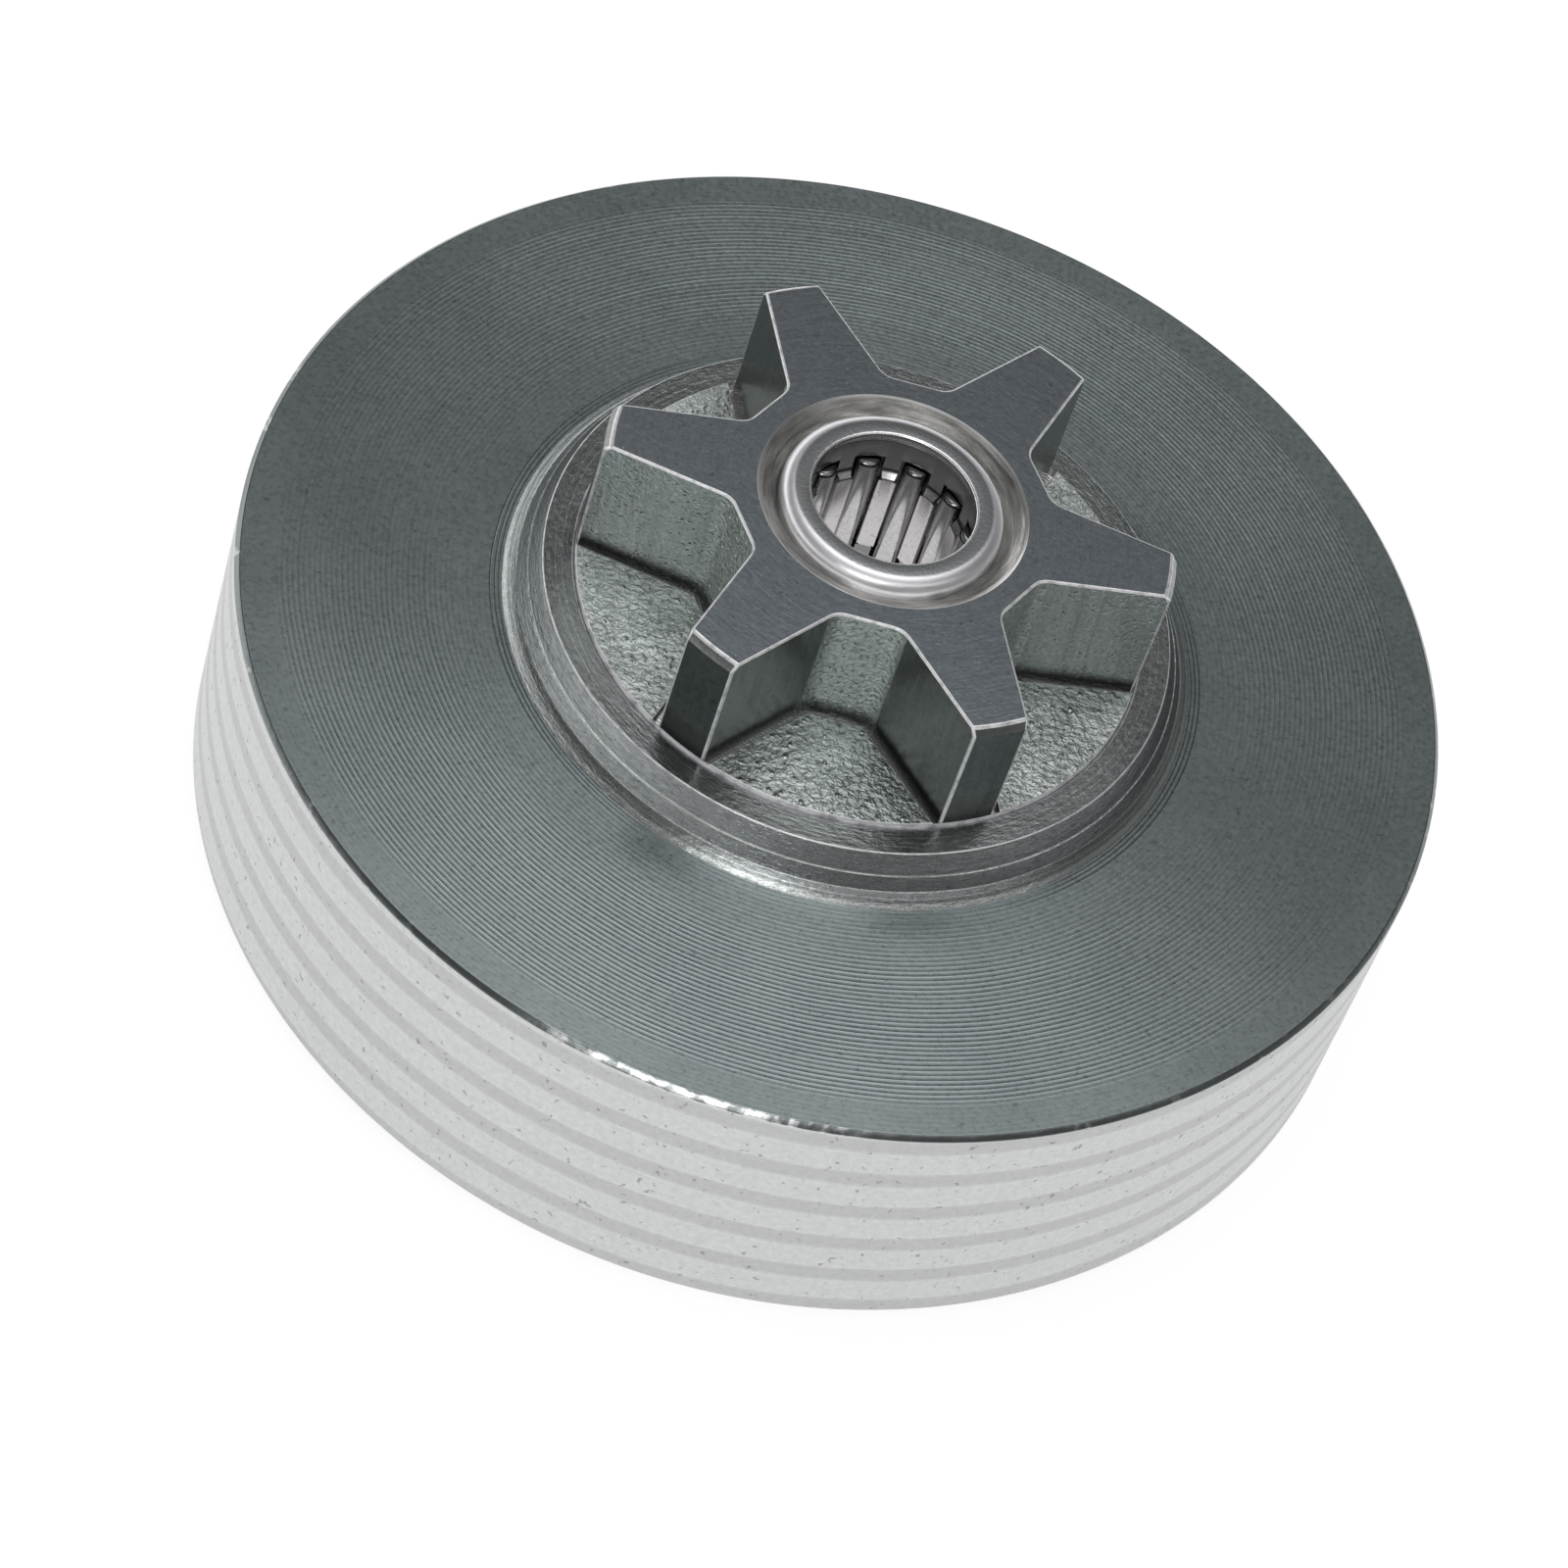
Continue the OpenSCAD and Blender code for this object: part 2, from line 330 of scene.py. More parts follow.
def makeMottle():
    # fine grain of bare steel, with a few dark pits and a few bright grains
    tree, given, out = newGroup("mottle", [("Vector", "Vector", None), ("Grain", "Float", 3.2)],
                                [("Value", "Float"), ("Pits", "Float"), ("Sparks", "Float"), ("Cloud", "Float")])
    place = grouped(tree, axisPlace, Vector=given["Vector"])
    grain = noise(tree, place["Place"], given["Grain"], 3.0, 0.6)
    feed(tree, grain, out["Value"])
    pitNoise = noise(tree, place["Place"], maths(tree, "MULTIPLY", given["Grain"], 0.9), 1.0, 0.5, 0.4)
    feed(tree, mapped(tree, pitNoise, 0.33, 0.24, smooth=True), out["Pits"])
    sparkNoise = noise(tree, place["Place"], maths(tree, "MULTIPLY", given["Grain"], 1.7), 0.0)
    feed(tree, mapped(tree, sparkNoise, 0.80, 0.88, smooth=True), out["Sparks"])
    feed(tree, noise(tree, place["Place"], 0.16, 2.0), out["Cloud"])
    return tree


relief = {"pitch": 2.93, "phase": 0.466, "depth": 0.035, "band": 0.42}


def makeHelixBand():
    # the one helical band that the feed of the turning tool left on the wall
    tree, given, out = newGroup("helixBand", [("Vector", "Vector", None), ("Pitch", "Float", relief["pitch"]),
                                              ("Phase", "Float", relief["phase"]), ("Share", "Float", relief["band"])],
                                [("Band", "Float"), ("Lines", "Float")])
    place = grouped(tree, axisPlace, Vector=given["Vector"])
    drift = maths(tree, "MULTIPLY", maths(tree, "SUBTRACT", noise(tree, place["Place"], 0.09, 1.0), 0.5), 0.10)
    phase = maths(tree, "ADD", maths(tree, "SUBTRACT", maths(tree, "DIVIDE", place["Height"], given["Pitch"]),
                                     place["Turn"]), maths(tree, "ADD", given["Phase"], drift))
    share = maths(tree, "FRACT", phase)
    away = maths(tree, "DIVIDE", maths(tree, "MINIMUM", share, maths(tree, "SUBTRACT", 1.0, share)),
                 maths(tree, "DIVIDE", given["Share"], 2.0))
    feed(tree, mapped(tree, away, 1.15, 0.6, smooth=True), out["Band"])
    edge = maths(tree, "ABSOLUTE", maths(tree, "SUBTRACT", away, 1.12))
    feed(tree, mapped(tree, edge, 0.13, 0.0, smooth=True), out["Lines"])
    return tree


def makeForgedSkin():
    # sandy skin of a forging: many small round grains over a soft swell
    tree, given, out = newGroup("forgedSkin", [("Vector", "Vector", None), ("Grain", "Float", 3.6)],
                                [("Height", "Float"), ("Peaks", "Float"), ("Cloud", "Float")])
    place = grouped(tree, axisPlace, Vector=given["Vector"])
    soft = noise(tree, place["Place"], given["Grain"], 2.0, 0.55, 0.3)
    grains = cells(tree, place["Place"], maths(tree, "MULTIPLY", given["Grain"], 0.85))
    dome = mapped(tree, grains, 0.0, 0.42, 1.0, 0.0, smooth=True)
    some = mapped(tree, noise(tree, place["Place"], maths(tree, "MULTIPLY", given["Grain"], 0.5), 1.0), 0.46, 0.62)
    peaks = maths(tree, "MULTIPLY", dome, some)
    feed(tree, maths(tree, "ADD", soft, maths(tree, "MULTIPLY", peaks, 0.55)), out["Height"])
    feed(tree, peaks, out["Peaks"])
    feed(tree, noise(tree, place["Place"], 0.35, 2.0), out["Cloud"])
    return tree


def makeUprightScratches():
    # scratches that run up and down, as the broach left them on the teeth
    tree, given, out = newGroup("uprightScratches", [("Vector", "Vector", None), ("Fineness", "Float", 3.0)],
                                [("Value", "Float"), ("Strong", "Float")])
    place = grouped(tree, axisPlace, Vector=given["Vector"])
    parts = tree.nodes.new("ShaderNodeSeparateXYZ")
    feed(tree, place["Place"], parts.inputs[0])
    x, y, z = parts.outputs
    lean = maths(tree, "MULTIPLY", z, 0.06)
    where = combined(tree, maths(tree, "ADD", x, lean), y, maths(tree, "MULTIPLY", z, 0.05))
    fine = noise(tree, where, given["Fineness"], 3.0, 0.6)
    feed(tree, fine, out["Value"])
    feed(tree, mapped(tree, fine, 0.60, 0.74), out["Strong"])
    return tree


axisPlace = makeAxisPlace()
toolMarks = makeToolMarks()
ringStreaks = makeRingStreaks()
mottle = makeMottle()
helixBand = makeHelixBand()
forgedSkin = makeForgedSkin()
uprightScratches = makeUprightScratches()
print("effect groups built")


def newFinish(name, roughness, turned=0.0):
    material = bpy.data.materials.new(name)
    material.use_nodes = True
    tree = material.node_tree
    shader = tree.nodes["Principled BSDF"]
    shader.inputs["Metallic"].default_value = 1
    shader.inputs["Roughness"].default_value = roughness
    where = tree.nodes.new("ShaderNodeTexCoord").outputs["Object"]
    if turned:
        # streaked across the turned grooves
        tangent = tree.nodes.new("ShaderNodeTangent")
        tangent.direction_type = "RADIAL"
        tangent.axis = "Z"
        feed(tree, tangent.outputs[0], shader.inputs["Tangent"])
        shader.inputs["Anisotropic"].default_value = turned
        shader.inputs["Anisotropic Rotation"].default_value = 0.25
    return material, tree, shader.inputs, where


def makeFaceSteel():
    # the face is coloured darker than the wall of the same steel: partly its finish, partly painted shade
    look = {"dark": (0.275, 0.315, 0.323, 1), "light": (0.345, 0.388, 0.393, 1),
            "pit": (0.10, 0.12, 0.125, 1), "marks": 0.010}
    material, tree, into, where = newFinish("faceSteel", 0.29, 0.4)
    marks = grouped(tree, toolMarks, Vector=where, Pitch=0.29, Waver=0.25)
    grain = grouped(tree, mottle, Vector=where, Grain=3.2)
    place = grouped(tree, axisPlace, Vector=where)
    tone = mixed(tree, grain["Value"], grain["Cloud"], 0.6)
    colour = blendColour(tree, mapped(tree, tone, 0.36, 0.64), look["dark"], look["light"])
    colour = blendColour(tree, maths(tree, "MULTIPLY", grain["Pits"], 0.4), colour, look["pit"])
    feed(tree, colour, into["Base Color"])
    zone = maths(tree, "MULTIPLY", mapped(tree, place["Radius"], 20.0, 24.5, 0.35, 1.0, smooth=True),
                 mapped(tree, place["Radius"], 31.2, 30.2, 0.12, 1.0, smooth=True))
    normal = bump(tree, maths(tree, "MULTIPLY", marks["Height"], zone), look["marks"])
    normal = bump(tree, grain["Value"], 0.006, 0.7, normal)
    feed(tree, normal, into["Normal"])
    feed(tree, mapped(tree, grain["Value"], 0.3, 0.7, 0.26, 0.32), into["Roughness"])
    return material


def makeWallSteel():
    # the wall is coloured paler than the face of the same steel: partly its finish, partly a painted reflection of the
    # pale floor
    look = {"band": (0.57, 0.58, 0.575, 1), "land": (0.68, 0.695, 0.69, 1), "line": (0.78, 0.795, 0.79, 1),
            "stain": (0.30, 0.30, 0.29, 1), "pit": (0.20, 0.20, 0.19, 1)}
    material, tree, into, where = newFinish("wallSteel", 0.42, 0.4)
    helix = grouped(tree, helixBand, Vector=where)
    marks = grouped(tree, toolMarks, Vector=where, Pitch=0.27, Waver=0.3)
    grain = grouped(tree, mottle, Vector=where, Grain=2.8)
    scratches = grouped(tree, uprightScratches, Vector=where, Fineness=2.2)
    colour = blendColour(tree, helix["Band"], look["land"], look["band"])
    colour = blendColour(tree, maths(tree, "MULTIPLY", helix["Lines"], 0.3), colour, look["line"])
    land = maths(tree, "SUBTRACT", 1.0, helix["Band"])
    fade = maths(tree, "MULTIPLY", maths(tree, "MULTIPLY", marks["Crest"], 0.35), land)
    colour = blendColour(tree, fade, colour, look["line"])
    colour = blendColour(tree, mapped(tree, grain["Value"], 0.3, 0.7, 0.22, 0.0), colour, look["stain"])
    colour = blendColour(tree, maths(tree, "MULTIPLY", grain["Pits"], 0.6), colour, look["pit"])
    feed(tree, colour, into["Base Color"])
    normal = bump(tree, marks["Height"], 0.004, 0.8)
    normal = bump(tree, grain["Value"], 0.015, 0.6, normal)
    normal = bump(tree, scratches["Value"], 0.006, 0.5, normal)
    feed(tree, normal, into["Normal"])
    return material


def makeCollarSteel():
    look = {"dark": (0.22, 0.235, 0.235, 1), "light": (0.34, 0.36, 0.36, 1), "pit": (0.07, 0.08, 0.08, 1),
            "line": (0.72, 0.75, 0.74, 1), "highlightLines": ((17.72, 0.07, 0.7), (18.2, 0.05, 0.6), (18.72, 0.16, 0.55),
                                                     (18.45, 0.03, 0.35), (16.1, 0.05, 0.3), (16.45, 0.04, 0.25))}
    material, tree, into, where = newFinish("collarSteel", 0.24)
    streaks = grouped(tree, ringStreaks, Vector=where, Fineness=6.0, Wander=3.0)
    flecks = grouped(tree, ringStreaks, Vector=where, Fineness=5.0, Wander=26.0)
    grain = grouped(tree, mottle, Vector=where, Grain=4.0)
    place = grouped(tree, axisPlace, Vector=where)
    tone = mixed(tree, streaks["Value"], flecks["Value"], 0.5)
    colour = blendColour(tree, mapped(tree, tone, 0.38, 0.64), look["dark"], look["light"])
    colour = blendColour(tree, maths(tree, "MULTIPLY", grain["Pits"], 0.5), colour, look["pit"])
    # painted highlights: a pale ring of colour at each listed radius along the collar's edges and steps
    for centre, half, share in look["highlightLines"]:
        mask = lineAt(tree, place["Radius"], centre, half)
        colour = blendColour(tree, maths(tree, "MULTIPLY", mask, share), colour, look["line"])
    feed(tree, colour, into["Base Color"])
    normal = bump(tree, streaks["Value"], 0.02, 0.8)
    normal = bump(tree, flecks["Value"], 0.05, 0.9, normal)
    normal = bump(tree, grain["Value"], 0.008, 0.5, normal)
    feed(tree, normal, into["Normal"])
    feed(tree, mapped(tree, flecks["Value"], 0.35, 0.65, 0.30, 0.2), into["Roughness"])
    return material


def makeForgedSteel():
    look = {"dark": (0.50, 0.545, 0.53, 1), "light": (0.72, 0.77, 0.755, 1), "pit": (0.16, 0.175, 0.17, 1)}
    material, tree, into, where = newFinish("forgedSteel", 0.38)
    skin = grouped(tree, forgedSkin, Vector=where, Grain=2.6)
    colour = blendColour(tree, mapped(tree, skin["Cloud"], 0.35, 0.65), look["dark"], look["light"])
    colour = blendColour(tree, mapped(tree, skin["Height"], 0.45, 0.28, 0.0, 0.55), colour, look["pit"])
    feed(tree, colour, into["Base Color"])
    feed(tree, bump(tree, skin["Height"], 0.2, 1.0), into["Normal"])
    feed(tree, mapped(tree, skin["Peaks"], 0.0, 1.0, 0.42, 0.2), into["Roughness"])
    return material


def makePadEdge():
    # rounded pad edges: forged grain, near white and part diffuse, a painted highlight along the edge
    look = {"dull": (0.55, 0.58, 0.57, 1), "bright": (0.95, 0.97, 0.95, 1)}
    material, tree, into, where = newFinish("padEdge", 0.34)
    into["Metallic"].default_value = 0.6
    skin = grouped(tree, forgedSkin, Vector=where, Grain=3.4)
    colour = blendColour(tree, mapped(tree, skin["Height"], 0.4, 0.75), look["dull"], look["bright"])
    feed(tree, colour, into["Base Color"])
    feed(tree, bump(tree, skin["Height"], 0.12, 1.0), into["Normal"])
    return material


def makeMoatSteel():
    # the groove along the foot of the teeth, coloured near black as painted shade
    look = {"dark": (0.045, 0.048, 0.045, 1), "light": (0.12, 0.125, 0.12, 1)}
    material, tree, into, where = newFinish("moatSteel", 0.5)
    skin = grouped(tree, forgedSkin, Vector=where, Grain=3.0)
    colour = blendColour(tree, mapped(tree, skin["Height"], 0.4, 0.8), look["dark"], look["light"])
    feed(tree, colour, into["Base Color"])
    feed(tree, bump(tree, skin["Height"], 0.1, 1.0), into["Normal"])
    return material


# painted shade at the foot of the teeth: its colour, the heights it fades over, and its strength
footShade = {"colour": (0.05, 0.052, 0.05, 1), "from": 19.3, "to": 20.3, "share": 0.75}


def footShaded(tree, place, colour):
    # painted shade: darker towards the foot of a tooth
    share = mapped(tree, place["Height"], footShade["from"], footShade["to"], footShade["share"], 0.0, smooth=True)
    return blendColour(tree, share, colour, footShade["colour"])


def makeFlankSteel():
    # gritty flanks, pitted, with a few upright scratches
    look = {"dark": (0.36, 0.39, 0.375, 1), "light": (0.56, 0.60, 0.58, 1), "pit": (0.07, 0.08, 0.075, 1)}
    material, tree, into, where = newFinish("flankSteel", 0.33)
    skin = grouped(tree, forgedSkin, Vector=where, Grain=4.2)
    scratches = grouped(tree, uprightScratches, Vector=where, Fineness=1.3)
    grain = grouped(tree, mottle, Vector=where, Grain=4.6)
    place = grouped(tree, axisPlace, Vector=where)
    tone = mixed(tree, scratches["Value"], grain["Value"], 0.45)
    colour = blendColour(tree, mapped(tree, tone, 0.38, 0.62), look["dark"], look["light"])
    colour = blendColour(tree, maths(tree, "MULTIPLY", scratches["Strong"], 0.5), colour, look["pit"])
    colour = blendColour(tree, maths(tree, "MULTIPLY", skin["Peaks"], 0.8), colour, look["pit"])
    feed(tree, footShaded(tree, place, colour), into["Base Color"])
    normal = bump(tree, maths(tree, "SUBTRACT", grain["Value"], skin["Peaks"]), 0.06, 1.0)
    normal = bump(tree, scratches["Value"], 0.08, 0.7, normal)
    feed(tree, normal, into["Normal"])
    return material


def makeSmoothShadedFlank():
    # flanks and tips that stayed smooth; their dark colour, darker than the gritty flanks, is partly painted shade
    look = {"dark": (0.23, 0.25, 0.24, 1), "light": (0.33, 0.35, 0.34, 1), "pit": (0.07, 0.08, 0.075, 1)}
    material, tree, into, where = newFinish("smoothShadedFlank", 0.26)
    scratches = grouped(tree, uprightScratches, Vector=where, Fineness=2.2)
    grain = grouped(tree, mottle, Vector=where, Grain=3.0)
    place = grouped(tree, axisPlace, Vector=where)
    tone = mixed(tree, scratches["Value"], grain["Value"], 0.5)
    colour = blendColour(tree, mapped(tree, tone, 0.38, 0.62), look["dark"], look["light"])
    colour = blendColour(tree, maths(tree, "MULTIPLY", grain["Pits"], 0.4), colour, look["pit"])
    feed(tree, footShaded(tree, place, colour), into["Base Color"])
    normal = bump(tree, scratches["Value"], 0.02, 0.7)
    normal = bump(tree, grain["Value"], 0.008, 0.5, normal)
    feed(tree, normal, into["Normal"])
    return material


def makeRootSteel():
    look = {"dark": (0.46, 0.505, 0.48, 1), "light": (0.70, 0.75, 0.725, 1), "pit": (0.10, 0.115, 0.11, 1)}
    material, tree, into, where = newFinish("rootSteel", 0.38)
    skin = grouped(tree, forgedSkin, Vector=where, Grain=4.6)
    scratches = grouped(tree, uprightScratches, Vector=where, Fineness=2.0)
    place = grouped(tree, axisPlace, Vector=where)
    tone = mixed(tree, skin["Height"], scratches["Value"], 0.6)
    colour = blendColour(tree, mapped(tree, tone, 0.40, 0.75), look["dark"], look["light"])
    colour = blendColour(tree, mapped(tree, skin["Height"], 0.44, 0.30, 0.0, 0.7), colour, look["pit"])
    feed(tree, footShaded(tree, place, colour), into["Base Color"])
    feed(tree, bump(tree, skin["Height"], 0.10, 1.0), into["Normal"])
    return material


def makeTopSteel():
    look = {"dark": (0.185, 0.21, 0.232, 1), "light": (0.31, 0.34, 0.365, 1), "spark": (0.75, 0.78, 0.78, 1),
            "pit": (0.08, 0.09, 0.10, 1)}
    material, tree, into, where = newFinish("topSteel", 0.30)
    streaks = grouped(tree, ringStreaks, Vector=where, Fineness=7.0, Wander=7.0)
    grain = grouped(tree, mottle, Vector=where, Grain=4.0)
    tone = mixed(tree, streaks["Value"], grain["Value"], 0.6)
    colour = blendColour(tree, mapped(tree, tone, 0.37, 0.63), look["dark"], look["light"])
    colour = blendColour(tree, maths(tree, "MULTIPLY", grain["Pits"], 0.5), colour, look["pit"])
    colour = blendColour(tree, maths(tree, "MULTIPLY", grain["Sparks"], 0.7), colour, look["spark"])
    feed(tree, colour, into["Base Color"])
    normal = bump(tree, streaks["Value"], 0.012, 0.8)
    normal = bump(tree, grain["Value"], 0.014, 0.6, normal)
    feed(tree, normal, into["Normal"])
    feed(tree, mapped(tree, streaks["Value"], 0.3, 0.7, 0.34, 0.27), into["Roughness"])
    return material


def makeHubSteel():
    # the turned recess round the bearing
    look = {"dark": (0.30, 0.295, 0.28, 1), "light": (0.80, 0.79, 0.76, 1), "edge": (0.95, 0.95, 0.95, 1)}
    material, tree, into, where = newFinish("hubSteel", 0.26)
    marks = grouped(tree, toolMarks, Vector=where, Pitch=0.2, Waver=0.2)
    streaks = grouped(tree, ringStreaks, Vector=where, Fineness=9.0, Wander=2.5)
    grain = grouped(tree, mottle, Vector=where, Grain=4.5)
    place = grouped(tree, axisPlace, Vector=where)
    colour = blendColour(tree, mapped(tree, streaks["Value"], 0.38, 0.62), look["dark"], look["light"])
    # painted highlight: a near white ring along the outer edge of the recess
    colour = blendColour(tree, mapped(tree, place["Radius"], 7.14, 7.24, 0.0, 0.8), colour, look["edge"])
    feed(tree, colour, into["Base Color"])
    normal = bump(tree, marks["Height"], 0.016, 0.9)
    normal = bump(tree, streaks["Value"], 0.04, 0.8, normal)
    normal = bump(tree, grain["Value"], 0.008, 0.5, normal)
    feed(tree, normal, into["Normal"])
    return material


def makeEdgeWearAndHighlight():
    # rounded edges: near white and part diffuse so they shine under any lamp, partly wear and partly a painted
    # highlight
    look = {"dull": (0.60, 0.61, 0.63, 1), "bright": (0.97, 0.96, 0.98, 1)}
    material, tree, into, where = newFinish("edgeWearAndHighlight", 0.3)
    into["Metallic"].default_value = 0.45
    grain = grouped(tree, mottle, Vector=where, Grain=1.6)
    colour = blendColour(tree, mapped(tree, grain["Value"], 0.34, 0.5), look["dull"], look["bright"])
    feed(tree, colour, into["Base Color"])
    feed(tree, bump(tree, grain["Value"], 0.03, 0.6), into["Normal"])
    return material


def makeRimEdge():
    # the edge of the face: dark, with a painted highlight in dashes over the one stretch that faces the front lamp,
    # and faint pale dashes all round
    look = {"dark": (0.22, 0.24, 0.24, 1), "bright": (0.85, 0.86, 0.87, 1), "from": -0.315, "to": -0.222}
    material, tree, into, where = newFinish("rimEdge", 0.24)
    place = grouped(tree, axisPlace, Vector=where)
    dashes = noise(tree, place["Place"], 0.9, 2.0, 0.6)
    stretch = maths(tree, "MULTIPLY", mapped(tree, place["Turn"], look["from"], look["from"] + 0.03, smooth=True),
                    mapped(tree, place["Turn"], look["to"] + 0.01, look["to"] - 0.02, smooth=True))
    # painted highlight: bright dashes only over the stretch that faces the front lamp
    wearAndGlint = maths(tree, "MULTIPLY", mapped(tree, dashes, 0.40, 0.52), stretch)
    colour = blendColour(tree, maths(tree, "MAXIMUM", wearAndGlint, mapped(tree, dashes, 0.62, 0.72, 0.0, 0.4)),
                         look["dark"], look["bright"])
    feed(tree, colour, into["Base Color"])
    feed(tree, bump(tree, dashes, 0.04, 0.7), into["Normal"])
    return material


def makeInsideSteel():
    look = {"dark": (0.30, 0.31, 0.31, 1), "light": (0.44, 0.455, 0.455, 1), "pit": (0.12, 0.12, 0.12, 1)}
    material, tree, into, where = newFinish("insideSteel", 0.36, 0.5)
    marks = grouped(tree, toolMarks, Vector=where, Pitch=0.24, Waver=0.3)
    streaks = grouped(tree, ringStreaks, Vector=where, Fineness=5.0, Wander=2.0)
    grain = grouped(tree, mottle, Vector=where, Grain=3.0)
    colour = blendColour(tree, mapped(tree, streaks["Value"], 0.36, 0.64), look["dark"], look["light"])
    colour = blendColour(tree, maths(tree, "MULTIPLY", grain["Pits"], 0.4), colour, look["pit"])
    feed(tree, colour, into["Base Color"])
    normal = bump(tree, marks["Height"], 0.007, 0.9)
    normal = bump(tree, grain["Value"], 0.01, 0.5, normal)
    feed(tree, normal, into["Normal"])
    return material


faceSteel, wallSteel, collarSteel = makeFaceSteel(), makeWallSteel(), makeCollarSteel()
forgedSteel, flankSteel, topSteel = makeForgedSteel(), makeFlankSteel(), makeTopSteel()
hubSteel, edgeWearAndHighlight, padEdge, rimEdge = makeHubSteel(), makeEdgeWearAndHighlight(), makePadEdge(), makeRimEdge()
insideSteel, rootSteel = makeInsideSteel(), makeRootSteel()
smoothShadedFlank, moatSteel = makeSmoothShadedFlank(), makeMoatSteel()
drumFinishes = [faceSteel, wallSteel, collarSteel, forgedSteel, flankSteel, topSteel, hubSteel, edgeWearAndHighlight, padEdge,
                rimEdge, insideSteel, rootSteel, smoothShadedFlank, moatSteel]
print("finishes built")

# the drum stands on its open rim, +Z up, one tooth along +X
drum = {
    "radius": 33.0,
    "height": 16.5,
    "cavityRadius": 30.5,
    "cavityHeight": 13.5,
    "cavityFillet": 1.5,
    "faceChamfer": 0.25,
    "rimChamfer": 0.5,
    "mouthChamfer": 0.4,
    "steps": 288,
    "wallRows": 80,
}
collar = {
    "padRadius": 15.4,
    "grooveWidth": 0.07,
    "grooveDepth": 0.14,
    "ringInner": 15.53,
    "ringOuter": 17.1,
    "ringHeight": 19.05,
    "breakRadius": 17.7,
    "breakHeight": 17.9,
    "ledge": 0.06,
    "lowerLine": (18.2, 17.2),
    "foot": 18.61,
    "footFillet": 0.25,
    "faceLines": (18.99, 19.22, 19.47),
    "lineWidth": 0.1,
    "lineDepth": 0.035,
}
sprocket = {
    "teeth": 6,
    "tipRadius": 15.4,
    "tipHalfWidth": 1.5,
    "top": 26.9,
    "floor": 19.35,
    "flank": 10.4,
    "rootFlat": 8.6,
    "rootFillet": 1.1,
    "filletSteps": 6,
    "tipChamferWidth": 0.35,
    "tipChamferHeight": 0.45,
    "moatWidth": 0.4,
    "moatDepth": 0.45,
    "edgeRound": 0.13,
    "padRound": 0.2,
}
seat = {
    "bore": 6.0,
    "recessRadius": 7.3,
    "recessDepth": 0.95,
    "stepWidth": 0.16,
    "stepDepth": 0.72,
    "lowerChamfer": 0.5,
}


def gapOutline(inset):
    # one side of a tooth gap along +X, as (x, y), from the root flat outwards
    lean = math.radians(180 / sprocket["teeth"] + sprocket["flank"])
    half = math.radians(180 / sprocket["teeth"])
    slope = math.tan(math.radians(sprocket["flank"]))
    axisHalf = sprocket["tipHalfWidth"] + sprocket["tipRadius"] * slope
    x = (sprocket["rootFlat"] - axisHalf * math.sin(half)) / (math.cos(half) - slope * math.sin(half))
    cornerY = x * math.sin(half) - (axisHalf - x * slope) * math.cos(half)
    radius = sprocket["rootFillet"] - inset
    rootX = sprocket["rootFlat"] + inset
    y = cornerY - inset * math.cos(lean) + inset * (1 - math.sin(lean)) * math.tan(lean)
    tangent = radius / math.tan(math.pi / 4 + lean / 2)
    points = []
    for k in range(sprocket["filletSteps"] + 1):
        # from the root flat, normal -X, round to the flank's own normal
        angle = math.pi - (math.pi / 2 - lean) * k / sprocket["filletSteps"]
        points.append((rootX + radius + radius * math.cos(angle), y - tangent + radius * math.sin(angle)))
    far = 18 - rootX
    points.append((rootX + far, y + far * math.tan(lean)))
    return points


def turned(points, degrees):
    c, s = math.cos(math.radians(degrees)), math.sin(math.radians(degrees))
    return [(x * c - y * s, x * s + y * c) for x, y in points]


def gearOutline():
    # all gaps in turn; the far ends of two neighbours close each tooth well outside the tips
    side = gapOutline(0)
    outline = []
    for tooth in range(sprocket["teeth"]):
        gap = [(x, -y) for x, y in reversed(side)] + side
        outline += turned(gap, (tooth + 0.5) * 360 / sprocket["teeth"])
    return outline


def drumSection():
    d, c = drum, collar
    lineRadius, lineHeight = c["lowerLine"]
    corners = [
        (0, d["cavityHeight"], 0),
        (d["cavityRadius"], d["cavityHeight"], d["cavityFillet"]),
        (d["cavityRadius"], d["mouthChamfer"], 0.1),
        (d["cavityRadius"] + d["mouthChamfer"], 0, 0.1),
        (d["radius"] - d["rimChamfer"], 0, 0.12),
        (d["radius"], d["rimChamfer"], 0.2),
        (d["radius"], d["height"] - d["faceChamfer"], 0.1),
        (d["radius"] - d["faceChamfer"], d["height"], 0.1),
    ]
    for place in reversed(c["faceLines"]):
        corners += [(place + c["lineWidth"] / 2, d["height"], 0), (place, d["height"] - c["lineDepth"], 0),
                    (place - c["lineWidth"] / 2, d["height"], 0)]
    corners += [
        (c["foot"] + c["footFillet"], d["height"], 0.04),
        (c["foot"], d["height"] + c["footFillet"], 0.05),
        (lineRadius + 0.02, lineHeight - 0.02, 0),
        (lineRadius - 0.03, lineHeight, 0),
        (c["breakRadius"] + c["ledge"], c["breakHeight"], 0),
        (c["breakRadius"], c["breakHeight"], 0),
        (c["ringOuter"], c["ringHeight"], 0.11),
        (c["ringInner"], c["ringHeight"], 0.05),
        (c["padRadius"] + c["grooveWidth"], c["ringHeight"] - c["grooveDepth"], 0),
        (c["padRadius"], c["ringHeight"] - c["grooveDepth"], 0),
        (c["padRadius"], sprocket["floor"], 0.06),
        (0, sprocket["floor"], 0),
    ]
    return rounded([(r, z) for r, z, _ in corners], {i: k[2] for i, k in enumerate(corners)}, 4)


